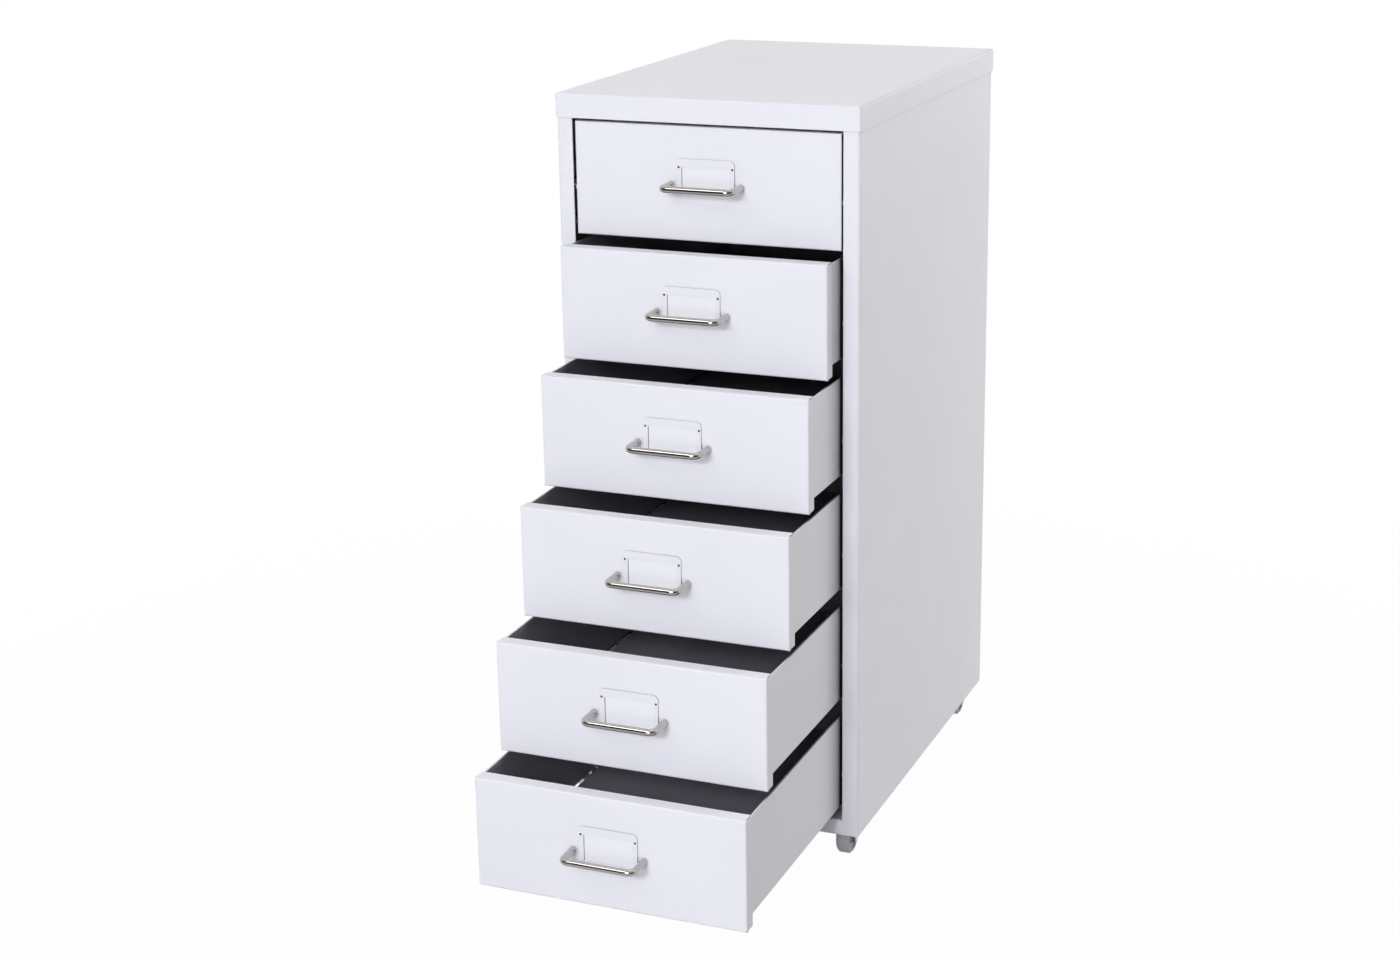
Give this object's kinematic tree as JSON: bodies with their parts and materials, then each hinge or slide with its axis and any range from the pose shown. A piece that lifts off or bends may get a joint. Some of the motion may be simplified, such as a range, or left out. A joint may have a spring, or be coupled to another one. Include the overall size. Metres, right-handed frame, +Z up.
{
  "type": "rolling drawer cabinet",
  "caption": "Tall narrow steel cabinet on swivel castors, with a stack of shallow drawers that slide out on folded runners, wire pulls and pressed label holders.",
  "frame": {"origin": "on the floor, under the middle of the box round the whole cabinet in the pictured stance", "axes": "+X to the right of someone facing the drawers, +Y to the back, +Z up"},
  "size_m": [0.28, 0.6618, 0.69],
  "materials": {
    "white_paint": "white powder coat, satin",
    "charcoal_paint": "charcoal coat inside, white outside, satin",
    "nickel": "bright nickel plate",
    "zinc_screws": "zinc plate",
    "castor_steel": "dark zinc plate",
    "grey_wheel": "moulded grey plastic"
  },
  "bodies": {
    "cabinet": {"side_panel_left": "white_paint", "side_panel_right": "white_paint", "back_panel": "white_paint", "back_screws": "zinc_screws", "top_cap": "white_paint", "base_pan": "white_paint", "runner_left_1": "white_paint", "runner_left_2": "white_paint", "runner_left_3": "white_paint", "runner_left_4": "white_paint", "runner_left_5": "white_paint", "runner_left_6": "white_paint", "runner_right_1": "white_paint", "runner_right_2": "white_paint", "runner_right_3": "white_paint", "runner_right_4": "white_paint", "runner_right_5": "white_paint", "runner_right_6": "white_paint", "castor_kingpins": "zinc_screws", "castor_screws": "zinc_screws", "castor_plate_front_left": "castor_steel", "castor_plate_front_right": "castor_steel", "castor_plate_rear_left": "castor_steel", "castor_plate_rear_right": "castor_steel"},
    "drawer_1": {"drawer_front_1": "white_paint", "drawer_tray_1": "charcoal_paint", "handle_1": "nickel", "handle_screws_1": "zinc_screws"},
    "drawer_2": {"drawer_front_2": "white_paint", "drawer_tray_2": "charcoal_paint", "handle_2": "nickel", "handle_screws_2": "zinc_screws"},
    "drawer_3": {"drawer_front_3": "white_paint", "drawer_tray_3": "charcoal_paint", "handle_3": "nickel", "handle_screws_3": "zinc_screws"},
    "drawer_4": {"drawer_front_4": "white_paint", "drawer_tray_4": "charcoal_paint", "handle_4": "nickel", "handle_screws_4": "zinc_screws"},
    "drawer_5": {"drawer_front_5": "white_paint", "drawer_tray_5": "charcoal_paint", "handle_5": "nickel", "handle_screws_5": "zinc_screws"},
    "drawer_6": {"drawer_front_6": "white_paint", "drawer_tray_6": "charcoal_paint", "handle_6": "nickel", "handle_screws_6": "zinc_screws"},
    "castor_front_left": {"castor_fork_front_left": "castor_steel", "castor_axle_front_left": "zinc_screws"},
    "wheel_front_left": {"castor_wheel_front_left": "grey_wheel"},
    "castor_front_right": {"castor_fork_front_right": "castor_steel", "castor_axle_front_right": "zinc_screws"},
    "wheel_front_right": {"castor_wheel_front_right": "grey_wheel"},
    "castor_rear_left": {"castor_fork_rear_left": "castor_steel", "castor_axle_rear_left": "zinc_screws"},
    "wheel_rear_left": {"castor_wheel_rear_left": "grey_wheel"},
    "castor_rear_right": {"castor_fork_rear_right": "castor_steel", "castor_axle_rear_right": "zinc_screws"},
    "wheel_rear_right": {"castor_wheel_rear_right": "grey_wheel"}
  },
  "joints": [
    {"name": "drawer_1_slide", "type": "slide", "parent": "cabinet", "child": "drawer_1", "axis": [0, -1, 0], "range_m": [0, 0.3]},
    {"name": "drawer_2_slide", "type": "slide", "parent": "cabinet", "child": "drawer_2", "axis": [0, -1, 0], "range_m": [-0.0363, 0.2637]},
    {"name": "drawer_3_slide", "type": "slide", "parent": "cabinet", "child": "drawer_3", "axis": [0, -1, 0], "range_m": [-0.0822, 0.2178]},
    {"name": "drawer_4_slide", "type": "slide", "parent": "cabinet", "child": "drawer_4", "axis": [0, -1, 0], "range_m": [-0.1302, 0.1698]},
    {"name": "drawer_5_slide", "type": "slide", "parent": "cabinet", "child": "drawer_5", "axis": [0, -1, 0], "range_m": [-0.1836, 0.1164]},
    {"name": "drawer_6_slide", "type": "slide", "parent": "cabinet", "child": "drawer_6", "axis": [0, -1, 0], "range_m": [-0.2319, 0.0681]},
    {"name": "castor_front_left_swivel", "type": "hinge", "parent": "cabinet", "child": "castor_front_left", "pos_m": [-0.1192, -0.03505, 0.038], "axis": [0, 0, 1], "continuous": true},
    {"name": "wheel_front_left_spin", "type": "hinge", "parent": "castor_front_left", "child": "wheel_front_left", "pos_m": [-0.1192, -0.04405, 0.015], "axis": [1, 0, 0], "continuous": true},
    {"name": "castor_front_right_swivel", "type": "hinge", "parent": "cabinet", "child": "castor_front_right", "pos_m": [0.1192, -0.03505, 0.038], "axis": [0, 0, 1], "continuous": true},
    {"name": "wheel_front_right_spin", "type": "hinge", "parent": "castor_front_right", "child": "wheel_front_right", "pos_m": [0.1192, -0.04405, 0.015], "axis": [1, 0, 0], "continuous": true},
    {"name": "castor_rear_left_swivel", "type": "hinge", "parent": "cabinet", "child": "castor_rear_left", "pos_m": [-0.1192, 0.29195, 0.038], "axis": [0, 0, 1], "continuous": true},
    {"name": "wheel_rear_left_spin", "type": "hinge", "parent": "castor_rear_left", "child": "wheel_rear_left", "pos_m": [-0.1192, 0.30095, 0.015], "axis": [1, 0, 0], "continuous": true},
    {"name": "castor_rear_right_swivel", "type": "hinge", "parent": "cabinet", "child": "castor_rear_right", "pos_m": [0.1192, 0.29195, 0.038], "axis": [0, 0, 1], "continuous": true},
    {"name": "wheel_rear_right_spin", "type": "hinge", "parent": "castor_rear_right", "child": "wheel_rear_right", "pos_m": [0.1192, 0.30095, 0.015], "axis": [1, 0, 0], "continuous": true}
  ]
}
